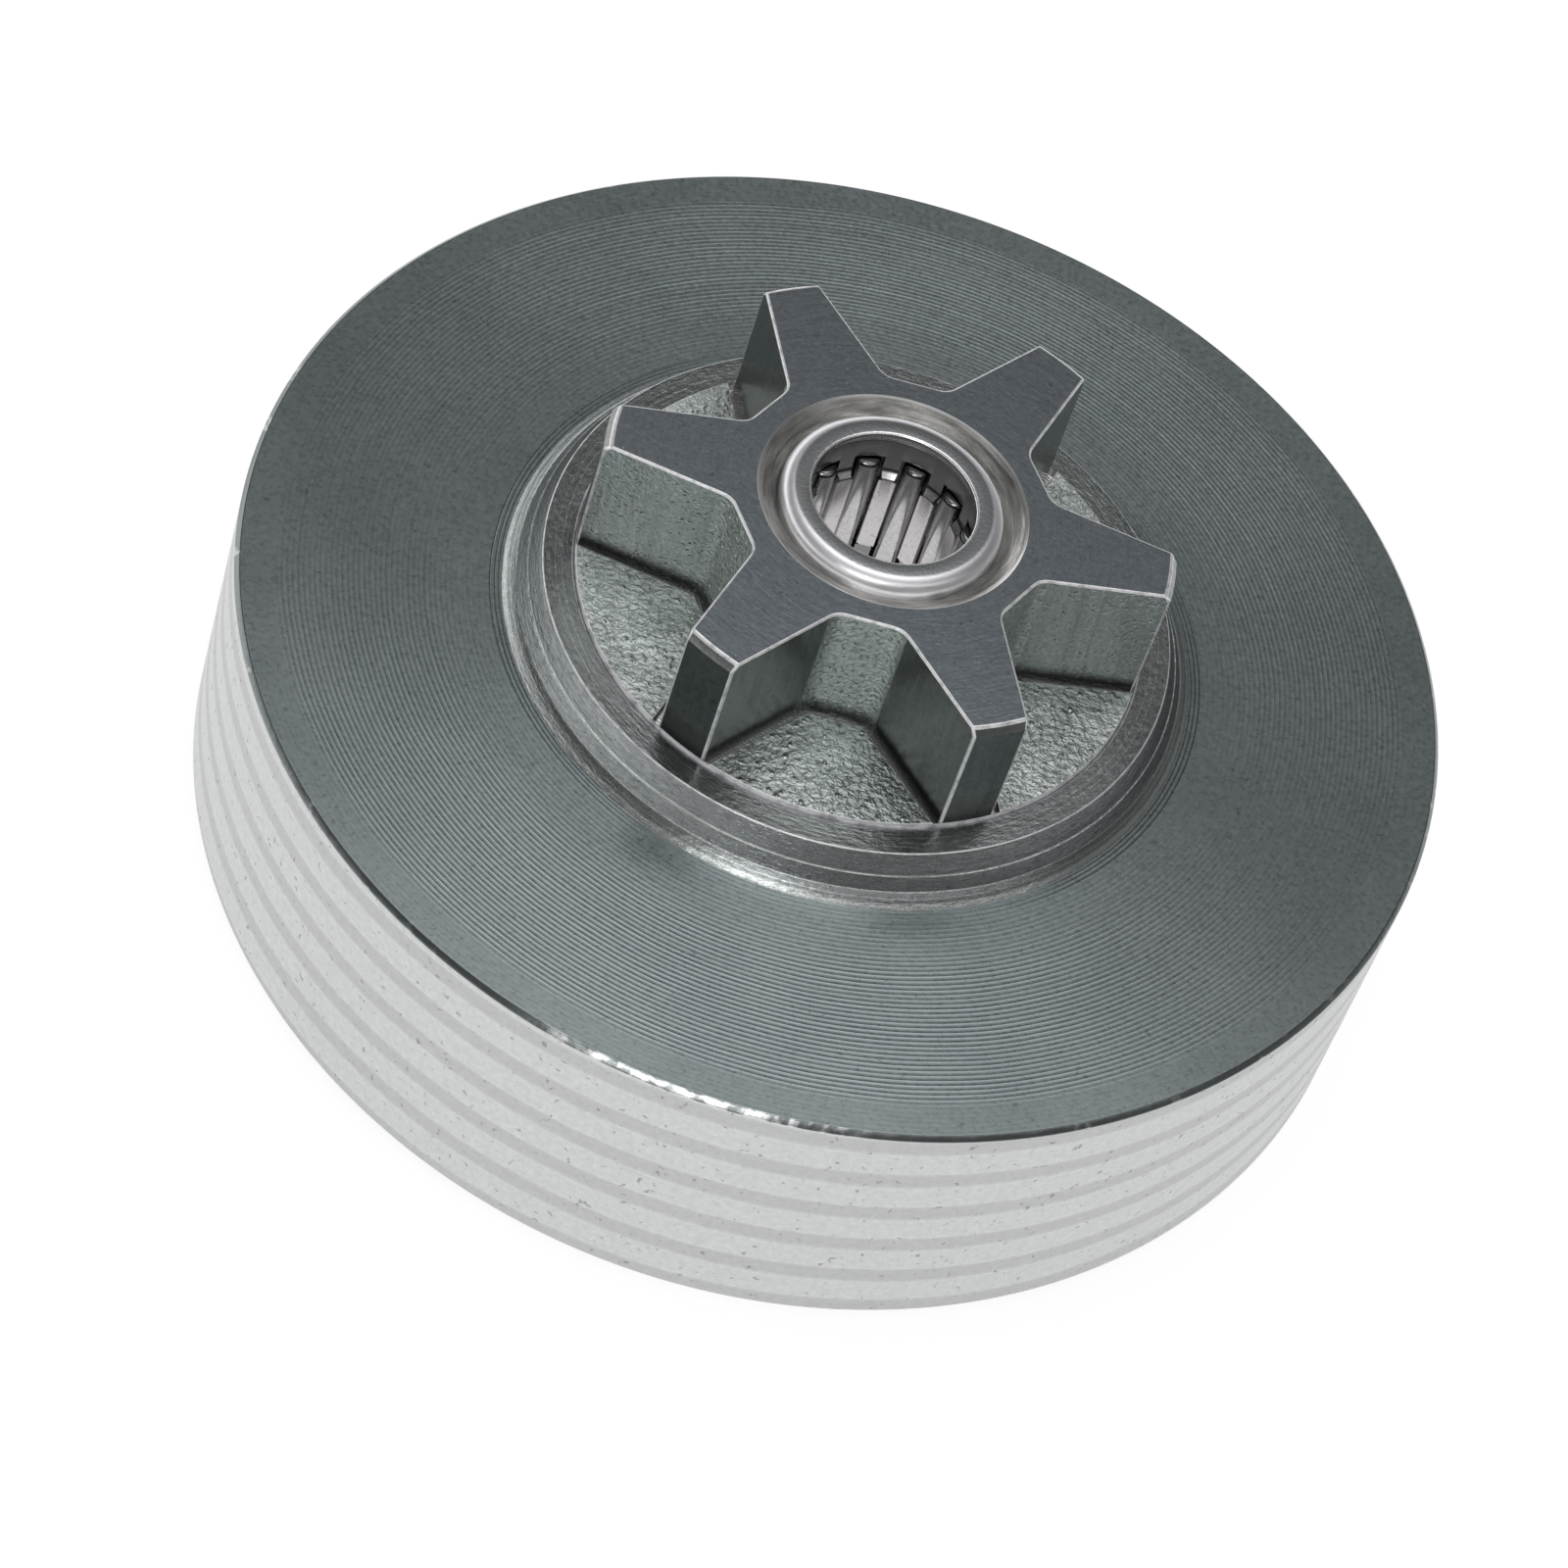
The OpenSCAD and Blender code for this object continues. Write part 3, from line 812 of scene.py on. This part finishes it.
def makeDrumSprocket():
    body = lathe("drumSprocket", drumSection(), drum["steps"])
    for finish in drumFinishes:
        body.data.materials.append(finish)
    print("drum turned:", len(body.data.polygons), "faces")

    # the forged floor as one face, then the groove along the foot of the teeth
    bpy.ops.object.mode_set(mode="EDIT")
    bpy.ops.mesh.select_mode(type="VERT")
    bpy.ops.mesh.select_all(action="DESELECT")
    mesh = bmesh.from_edit_mesh(body.data)
    for vert in mesh.verts:
        vert.select = flat(vert.co) < 1e-6
    bmesh.update_edit_mesh(body.data)
    bpy.ops.mesh.dissolve_verts()
    bpy.ops.object.mode_set(mode="OBJECT")
    low = sprocket["floor"] - sprocket["moatDepth"]
    foot = prism("moatTool", moatOutline(), low, sprocket["floor"] + 1)
    rim = lathe("moatBlank", [(0, low - 1), (sprocket["tipRadius"] - 0.002, low - 1),
                              (sprocket["tipRadius"] - 0.002, low + 3), (0, low + 3)], drum["steps"])
    cutWith(foot, rim, "INTERSECT")
    cutWith(body, foot, "DIFFERENCE")

    # pad edges worn round, and given the pad edge finish, whose near white colour is a painted highlight
    activate(body)
    bpy.ops.object.mode_set(mode="EDIT")
    bpy.ops.mesh.select_mode(type="EDGE")
    floor = sprocket["floor"]
    found = selectEdges(lambda a, b, n, m: abs(a.z - floor) < 0.001 and abs(b.z - floor) < 0.001
                        and min(flat(a), flat(b)) < 15.2 and abs(n.z) + abs(m.z) < 1.2)
    bpy.ops.mesh.bevel(offset=sprocket["padRound"] * mm, segments=3, profile=0.5, affect="EDGES",
                       material=drumFinishes.index(padEdge))
    bpy.ops.object.mode_set(mode="OBJECT")
    print("pad edges rounded:", found)

    # the sprocket: a turned blank, with the gaps cut
    s = sprocket
    blank = lathe("gearBlank", [
        (0, low - 0.5), (s["tipRadius"] - 0.02, low - 0.5), (s["tipRadius"] - 0.02, s["top"] - s["tipChamferHeight"]),
        (s["tipRadius"] - s["tipChamferWidth"], s["top"]), (0, s["top"])], drum["steps"])
    gear = prism("gearTool", gearOutline(), low - 0.4, s["top"] + 1)
    cutWith(gear, blank, "INTERSECT")
    for finish in drumFinishes:
        gear.data.materials.append(finish)
    activate(gear)
    bpy.ops.object.mode_set(mode="EDIT")
    bpy.ops.mesh.select_all(action="SELECT")
    bpy.ops.mesh.dissolve_limited(angle_limit=math.radians(0.3))
    bpy.ops.object.mode_set(mode="OBJECT")
    # edges rounded and given the edge finish: wear with a painted highlight
    wearAndGlint = gear.modifiers.new("edges", "BEVEL")
    wearAndGlint.limit_method = "ANGLE"
    wearAndGlint.angle_limit = math.radians(45)
    wearAndGlint.width = s["edgeRound"] * mm
    wearAndGlint.segments = 3
    wearAndGlint.material = drumFinishes.index(edgeWearAndHighlight)
    bpy.ops.object.modifier_apply(modifier="edges")
    cutWith(body, gear, "UNION")
    print("sprocket added:", len(body.data.polygons), "faces")

    # bearing seat with the stepped recess
    h = seat
    tool = lathe("seatTool", rounded([
        (0, drum["cavityHeight"] - 1), (h["bore"] + h["lowerChamfer"] + 1, drum["cavityHeight"] - 1),
        (h["bore"], drum["cavityHeight"] + h["lowerChamfer"]), (h["bore"], s["top"] - h["recessDepth"]),
        (h["bore"] + h["stepWidth"], s["top"] - h["stepDepth"]), (h["recessRadius"], s["top"]),
        (h["recessRadius"] + 1.1, s["top"] + 0.5), (h["recessRadius"] + 1.1, s["top"] + 1), (0, s["top"] + 1)],
        {4: 0.08}, 3), 144)
    cutWith(body, tool, "DIFFERENCE")

    # rows on the wall, pressed in along the helix that the turning tool left
    activate(body)
    bpy.ops.object.mode_set(mode="EDIT")
    bpy.ops.mesh.select_mode(type="EDGE")
    wall = drum["radius"]
    found = selectEdges(lambda a, b, n, m: abs(flat(a) - wall) < 0.002 and abs(flat(b) - wall) < 0.002
                        and abs(a.z - b.z) > 5)
    bpy.ops.mesh.subdivide(number_cuts=drum["wallRows"])
    bpy.ops.object.mode_set(mode="OBJECT")
    low, high = drum["rimChamfer"] + 0.3, drum["height"] - drum["faceChamfer"] - 0.2
    for vert in body.data.vertices:
        co = vert.co / mm
        if flat(co) > wall - 0.002 and low < co.z < high:
            turn = math.atan2(co.y, co.x) / (2 * math.pi)
            phase = (co.z / relief["pitch"] - turn + relief["phase"]) % 1
            away = min(phase, 1 - phase) / (relief["band"] / 2)
            sink = relief["depth"] * (0.5 + 0.5 * math.cos(math.pi * min(1, max(0, away * 1.6 - 0.6))))
            scale = 1 - sink / wall
            vert.co.x *= scale
            vert.co.y *= scale
    print("wall rows:", found, "edges split,", len(body.data.polygons), "faces")
    return body


def moatOutline():
    # gaps as in the gear, and between them the ground that the teeth stand on
    outline = []
    inner = gapOutline(sprocket["moatWidth"])
    for tooth in range(sprocket["teeth"]):
        gap = [(x, -y) for x, y in reversed(inner)] + inner
        outline += turned(gap, (tooth + 0.5) * 360 / sprocket["teeth"])
    return outline


def zoneOf(centre, normal):
    # which finish a face of the drum gets, by its place and direction
    r, z, up = flat(centre), centre.z, normal.z
    side = flat(normal)
    if r > 32.6 and z > 16.2 and up < 0.999:
        return rimEdge
    if r > 32.9 and side > 0.9:
        return wallSteel
    if z > 16.45 and r > 18.87:
        return faceSteel
    if z < 16.5 and r > 6.6 or r > 30:
        return insideSteel
    if z < 19.36 and r > 15.401 and not (0.3 < up < 0.97 and z > 18.9):
        return collarSteel
    if z < 19.36 and r > 15.33 and up < 0.97 or r > 15.401:
        return edgeWearAndHighlight
    if z > sprocket["top"] - 0.01 and up > 0.99:
        return topSteel
    if r < 7.6 and z > 25.7 or r < 6.7:
        return hubSteel
    if z < 19.2:
        return moatSteel
    if z < 19.36 and up > 0.2:
        return forgedSteel
    if r < 9.6:
        return rootSteel
    # the flanks of the two teeth that point to +X and -X are gritty on the side towards -Y
    return flankSteel if normal.y < -0.9 and abs(centre.x) > 8.5 and r < 15.3 else smoothShadedFlank


def dressDrum(body):
    given = (drumFinishes.index(edgeWearAndHighlight), drumFinishes.index(padEdge))
    for face in body.data.polygons:
        if face.material_index not in given:
            face.material_index = drumFinishes.index(zoneOf(face.center / mm, face.normal))


drumPiece = makeDrumSprocket()
dressDrum(drumPiece)
activate(drumPiece)
bpy.ops.object.shade_smooth_by_angle(angle=math.radians(32))
even = drumPiece.modifiers.new("even", "WEIGHTED_NORMAL")
even.keep_sharp = True
even.weight = 80
bpy.ops.object.modifier_apply(modifier="even")

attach(drumPiece, "drum")
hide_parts("drum_sprocket")

bearing = {
    "top": 27.1,
    "length": 12.0,
    "cupRadius": 6.0,
    "raceway": 5.56,
    "lipRadius": 4.4,
    "lipThickness": 0.5,
    "cupCorner": 0.75,
    "lipRound": 0.14,
    "pitchRadius": 4.78,
    "rollers": 11,
    "firstRoller": 10.8,
    "rollerRadius": 0.75,
    "rollerLength": 7.8,
    "rollerCorner": 0.3,
    "cageLength": 10.7,
    "cageSheet": 0.3,
    "barRadius": 4.15,
    "rimRadius": 4.55,
    "barHalf": 2.7,
    "bend": 0.4,
    "bendRound": 0.35,
    "pocketHalf": 4.05,
    "pocketHead": 1.45,
    "pocketWide": 1.7,
    "pocketNarrow": 1.4341,
    "pocketFrom": 3.2,
    "pocketDeep": 2.6,
    "cageEdge": 0.08,
}


def makeCupSteel():
    # satin lip with its inner wall coloured dark; its inner edge and the drawn corner coloured near white, a painted
    # highlight, the corner also rougher
    look = {"dark": (0.34, 0.355, 0.36, 1), "light": (0.50, 0.515, 0.525, 1), "wall": (0.26, 0.26, 0.26, 1),
            "bright": (0.97, 0.97, 1.0, 1)}
    material, tree, into, where = newFinish("cupSteel", 0.26)
    grain = grouped(tree, mottle, Vector=where, Grain=4.5)
    streaks = grouped(tree, ringStreaks, Vector=where, Fineness=8.0, Wander=1.5)
    place = grouped(tree, axisPlace, Vector=where)
    tone = mixed(tree, grain["Value"], streaks["Value"], 0.6)
    colour = blendColour(tree, mapped(tree, tone, 0.38, 0.62), look["dark"], look["light"])
    # painted highlights on the drawn corner and on the lip's inner edge
    corner = mapped(tree, place["Radius"], 5.22, 5.42, smooth=True)
    edge = maths(tree, "MULTIPLY", mapped(tree, place["Radius"], 4.60, 4.52, smooth=True),
                 mapped(tree, place["Height"], 27.0, 27.03, smooth=True))
    colour = blendColour(tree, mapped(tree, place["Height"], 27.02, 26.98), colour, look["wall"])
    colour = blendColour(tree, maths(tree, "MAXIMUM", corner, edge), colour, look["bright"])
    feed(tree, colour, into["Base Color"])
    feed(tree, bump(tree, grain["Value"], 0.012, 0.6), into["Normal"])
    rough = maths(tree, "ADD", mapped(tree, grain["Value"], 0.3, 0.7, 0.30, 0.22), maths(tree, "MULTIPLY", corner, 0.12))
    feed(tree, rough, into["Roughness"])
    return material


def makeCageSteel():
    # the rims coloured dark; the bars pale, a painted reflection
    look = {"rim": (0.24, 0.24, 0.245, 1), "bar": (0.62, 0.60, 0.605, 1), "spot": (0.2, 0.2, 0.2, 1)}
    material, tree, into, where = newFinish("cageSteel", 0.26)
    grain = grouped(tree, mottle, Vector=where, Grain=5.0)
    place = grouped(tree, axisPlace, Vector=where)
    colour = blendColour(tree, mapped(tree, place["Radius"], 4.50, 4.38, smooth=True), look["rim"], look["bar"])
    colour = blendColour(tree, mapped(tree, grain["Value"], 0.45, 0.3, 0.0, 0.4), colour, look["spot"])
    feed(tree, colour, into["Base Color"])
    feed(tree, bump(tree, grain["Value"], 0.006, 0.5), into["Normal"])
    return material


def makeRollerSteel():
    # painted shade: darker towards the upper end, in the shade of the cage and the cup's lip
    look = {"dark": (0.50, 0.49, 0.49, 1), "light": (0.60, 0.59, 0.59, 1), "end": (0.30, 0.31, 0.31, 1)}
    material, tree, into, where = newFinish("rollerSteel", 0.2)
    grain = grouped(tree, mottle, Vector=where, Grain=5.0)
    place = grouped(tree, axisPlace, Vector=where)
    colour = blendColour(tree, mapped(tree, grain["Value"], 0.36, 0.64), look["dark"], look["light"])
    colour = blendColour(tree, mapped(tree, place["Height"], 22.6, 24.6, 0.0, 0.85, smooth=True), colour, look["end"])
    feed(tree, colour, into["Base Color"])
    feed(tree, mapped(tree, grain["Value"], 0.3, 0.7, 0.2, 0.14), into["Roughness"])
    return material


def makeCup():
    # drawn sheet cup, its lips turned in over the cage
    b = bearing
    half, inner = b["length"] / 2, b["length"] / 2 - b["lipThickness"]
    corners = [
        (b["lipRadius"], half, b["lipRound"]), (b["cupRadius"], half, b["cupCorner"]),
        (b["cupRadius"], -half, b["cupCorner"]), (b["lipRadius"], -half, b["lipRound"]),
        (b["lipRadius"], -inner, b["lipRound"]), (b["raceway"], -inner, 0.3),
        (b["raceway"], inner, 0.3), (b["lipRadius"], inner, b["lipRound"]),
    ]
    section = rounded([(r, z) for r, z, _ in corners], {i: k[2] for i, k in enumerate(corners)}, 7)
    middle = b["top"] - half
    cup = lathe("bearingCup", [(r, z + middle) for r, z in section + section[:1]], 160)
    cup.data.materials.append(cupSteel)
    return cup


def makeCage():
    # folded sheet ring, its bars drawn in between the rollers, with a pocket for each roller
    b = bearing
    end, knee = b["cageLength"] / 2, b["barHalf"] + b["bend"]
    t = b["cageSheet"]
    edge, bend = b["cageEdge"], b["bendRound"]
    corners = [
        (b["rimRadius"] + t, end, edge), (b["rimRadius"] + t, knee, bend / 2),
        (b["barRadius"] + t, b["barHalf"], bend), (b["barRadius"] + t, -b["barHalf"], bend),
        (b["rimRadius"] + t, -knee, bend / 2), (b["rimRadius"] + t, -end, edge), (b["rimRadius"], -end, edge),
        (b["rimRadius"], -knee, bend), (b["barRadius"], -b["barHalf"], bend / 2),
        (b["barRadius"], b["barHalf"], bend / 2), (b["rimRadius"], knee, bend), (b["rimRadius"], end, edge),
    ]
    section = rounded([(r, z) for r, z, _ in corners], {i: k[2] for i, k in enumerate(corners)}, 4)
    middle = b["top"] - b["length"] / 2
    cage = lathe("bearingCage", [(r, z + middle) for r, z in section + section[:1]], 132)
    half, head = b["pocketHalf"], b["pocketHead"]
    wide, narrow = b["pocketWide"] / 2, b["pocketNarrow"] / 2
    side = [(wide, half), (wide, half - head), (narrow, half - head), (narrow, head - half), (wide, head - half),
            (wide, -half)]
    shape = side + [(-y, z) for y, z in reversed(side)]
    pocket = pointAt("pocketTool", (b["pocketFrom"], shape[0][0], shape[0][1] + middle))
    extrudeAlong([(b["pocketFrom"], y, z + middle) for y, z in shape])
    bpy.ops.mesh.select_all(action="SELECT")
    bpy.ops.mesh.edge_face_add()
    bpy.ops.mesh.select_all(action="SELECT")
    bpy.ops.mesh.extrude_region_move(TRANSFORM_OT_translate={"value": (b["pocketDeep"] * mm, 0, 0)})
    bpy.ops.mesh.select_all(action="SELECT")
    bpy.ops.mesh.normals_make_consistent(inside=False)
    bpy.ops.object.mode_set(mode="OBJECT")
    for k in range(b["rollers"]):
        activate(pocket)
        bpy.ops.object.duplicate()
        tool = bpy.context.object
        tool.rotation_euler.z = math.radians(b["firstRoller"] + k * 360 / b["rollers"])
        bpy.ops.object.transform_apply(location=False, rotation=True, scale=False)
        cutWith(cage, tool, "DIFFERENCE")
    bpy.data.objects.remove(pocket)
    cage.data.materials.append(cageSteel)
    return cage


def makeRoller():
    b = bearing
    half = b["rollerLength"] / 2
    section = rounded([(0, -half), (b["rollerRadius"], -half), (b["rollerRadius"], half), (0, half)],
                      {1: b["rollerCorner"], 2: b["rollerCorner"]}, 5)
    roller = lathe("needleRoller", section, 40)
    roller.data.materials.append(rollerSteel)
    activate(roller)
    bpy.ops.object.shade_smooth_by_angle(angle=math.radians(35))
    return roller


cupSteel, cageSteel, rollerSteel = makeCupSteel(), makeCageSteel(), makeRollerSteel()
cupPiece, cagePiece = makeCup(), makeCage()
for piece, body, slot, node in ((cupPiece, "drum", "cup_steel", "bearing_cup"),
                                (cagePiece, "cage", "cage_steel", "bearing_cage")):
    activate(piece)
    bpy.ops.object.shade_smooth_by_angle(angle=math.radians(35))
    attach(piece, body)
    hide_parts(node)

firstRoller = makeRoller()
for k in range(bearing["rollers"]):
    number = "%02d" % (k + 1)
    activate(firstRoller)
    bpy.ops.object.duplicate()
    roller = bpy.context.object
    roller.name = roller.data.name = "needleRoller" + number
    angle = math.radians(bearing["firstRoller"] + k * 360 / bearing["rollers"])
    roller.location = Vector((bearing["pitchRadius"] * math.cos(angle), bearing["pitchRadius"] * math.sin(angle),
                              bearing["top"] - bearing["length"] / 2)) * mm
    bpy.ops.object.transform_apply(location=True, rotation=False, scale=False)
    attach(roller, "roller_" + number)
    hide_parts("needle_roller_" + number)
bpy.data.objects.remove(firstRoller)
print("bearing made")

studio = {
    "floorGlow": 0.8,
    "floorColour": 0.42,
    "horizon": 0.12,
    "leftSide": 1.3,
    "mid": 0.12,
    "zenith": 0.28,
    # azimuth, elevation, distance, width, height, radiance
    "boxes": {
        "topBox": (84, 74, 1.0, 0.6, 0.62, 1.3),
        "frontBox": (-98, 40, 1.1, 0.42, 0.35, 3.2),
        "wideBox": (-65, 45, 1.15, 2.2, 0.22, 1.3),
    },
}


def makeFloor():
    deselectAll()
    bpy.ops.mesh.primitive_plane_add(size=8, location=(0, 0, 0))
    floor = bpy.context.object
    floor.name = "floor"
    paper = bpy.data.materials.new("paper")
    paper.use_nodes = True
    tree = paper.node_tree
    tree.nodes.clear()
    result = tree.nodes.new("ShaderNodeOutputMaterial")
    plain = tree.nodes.new("ShaderNodeBsdfDiffuse")
    plain.inputs["Color"].default_value = (studio["floorColour"], studio["floorColour"], studio["floorColour"], 1)
    glow = tree.nodes.new("ShaderNodeEmission")
    glow.inputs["Strength"].default_value = studio["floorGlow"]
    both = tree.nodes.new("ShaderNodeAddShader")
    tree.links.new(plain.outputs[0], both.inputs[0])
    tree.links.new(glow.outputs[0], both.inputs[1])
    rays = tree.nodes.new("ShaderNodeLightPath")
    seen = maths(tree, "MAXIMUM", rays.outputs["Is Camera Ray"], rays.outputs["Is Glossy Ray"])
    seen = maths(tree, "MAXIMUM", seen, rays.outputs["Is Transmission Ray"])
    mix = tree.nodes.new("ShaderNodeMixShader")
    tree.links.new(seen, mix.inputs[0])
    tree.links.new(plain.outputs[0], mix.inputs[1])
    tree.links.new(both.outputs[0], mix.inputs[2])
    tree.links.new(mix.outputs[0], result.inputs["Surface"])
    floor.data.materials.append(paper)


def makeWorld():
    # a plain grey room: pale low down and on the left, darker above, lighter overhead
    world = bpy.data.worlds.new("studio")
    bpy.context.scene.world = world
    world.use_nodes = True
    tree = world.node_tree
    parts = tree.nodes.new("ShaderNodeSeparateXYZ")
    feed(tree, tree.nodes.new("ShaderNodeTexCoord").outputs["Generated"], parts.inputs[0])
    x, y, z = parts.outputs
    low = mapped(tree, z, 0.12, 0.5, 1.0, 0.0, smooth=True)
    high = mapped(tree, z, 0.70, 0.90, smooth=True)
    left = mapped(tree, maths(tree, "ADD", maths(tree, "MULTIPLY", x, -0.9), maths(tree, "MULTIPLY", y, 0.3)),
                  -0.5, 0.9, smooth=True)
    grey = maths(tree, "ADD", studio["mid"], maths(tree, "MULTIPLY", low, maths(
        tree, "ADD", studio["horizon"], maths(tree, "MULTIPLY", left, studio["leftSide"]))))
    grey = maths(tree, "ADD", grey, maths(tree, "MULTIPLY", high, studio["zenith"]))
    feed(tree, combined(tree, grey, grey, grey), tree.nodes["Background"].inputs["Color"])


def softbox(name, azimuth, elevation, distance, width, height, radiance):
    # a rectangle that faces the part; radiance is what a mirror would show of it
    data = bpy.data.lights.new(name, "AREA")
    data.shape = "RECTANGLE"
    data.size, data.size_y = width, height
    data.energy = radiance * math.pi * width * height
    lamp = bpy.data.objects.new(name, data)
    bpy.context.scene.collection.objects.link(lamp)
    a, e = math.radians(azimuth), math.radians(elevation)
    way = Vector((math.cos(e) * math.cos(a), math.cos(e) * math.sin(a), math.sin(e)))
    lamp.location = way * distance + Vector((0, 0, 0.02))
    lamp.rotation_euler = way.to_track_quat("Z", "Y").to_euler()
    return lamp


makeFloor()
makeWorld()
for name, box in studio["boxes"].items():
    softbox(name, *box)

camera = {
    "place": (-22.6255, -195.4216, 236.5762),
    "lookAt": (-1.7156, -11.8334, 16.5),
    "roll": 19.854,
    "lens": 126.634,
}
camData = bpy.data.cameras.new("photoCamera")
camData.lens = camera["lens"]
camData.sensor_width = 36
camData.sensor_fit = "HORIZONTAL"
camData.clip_start = 0.01
camObject = bpy.data.objects.new("photoCamera", camData)
bpy.context.scene.collection.objects.link(camObject)
aim = Vector(camera["lookAt"]) - Vector(camera["place"])
camObject.rotation_mode = "QUATERNION"
camObject.rotation_quaternion = aim.to_track_quat("-Z", "Y") @ Quaternion((0, 0, 1), math.radians(camera["roll"]))
camObject.location = Vector(camera["place"]) * mm
bpy.context.scene.camera = camObject
bpy.context.scene.view_settings.view_transform = "Standard"
print("stage set")
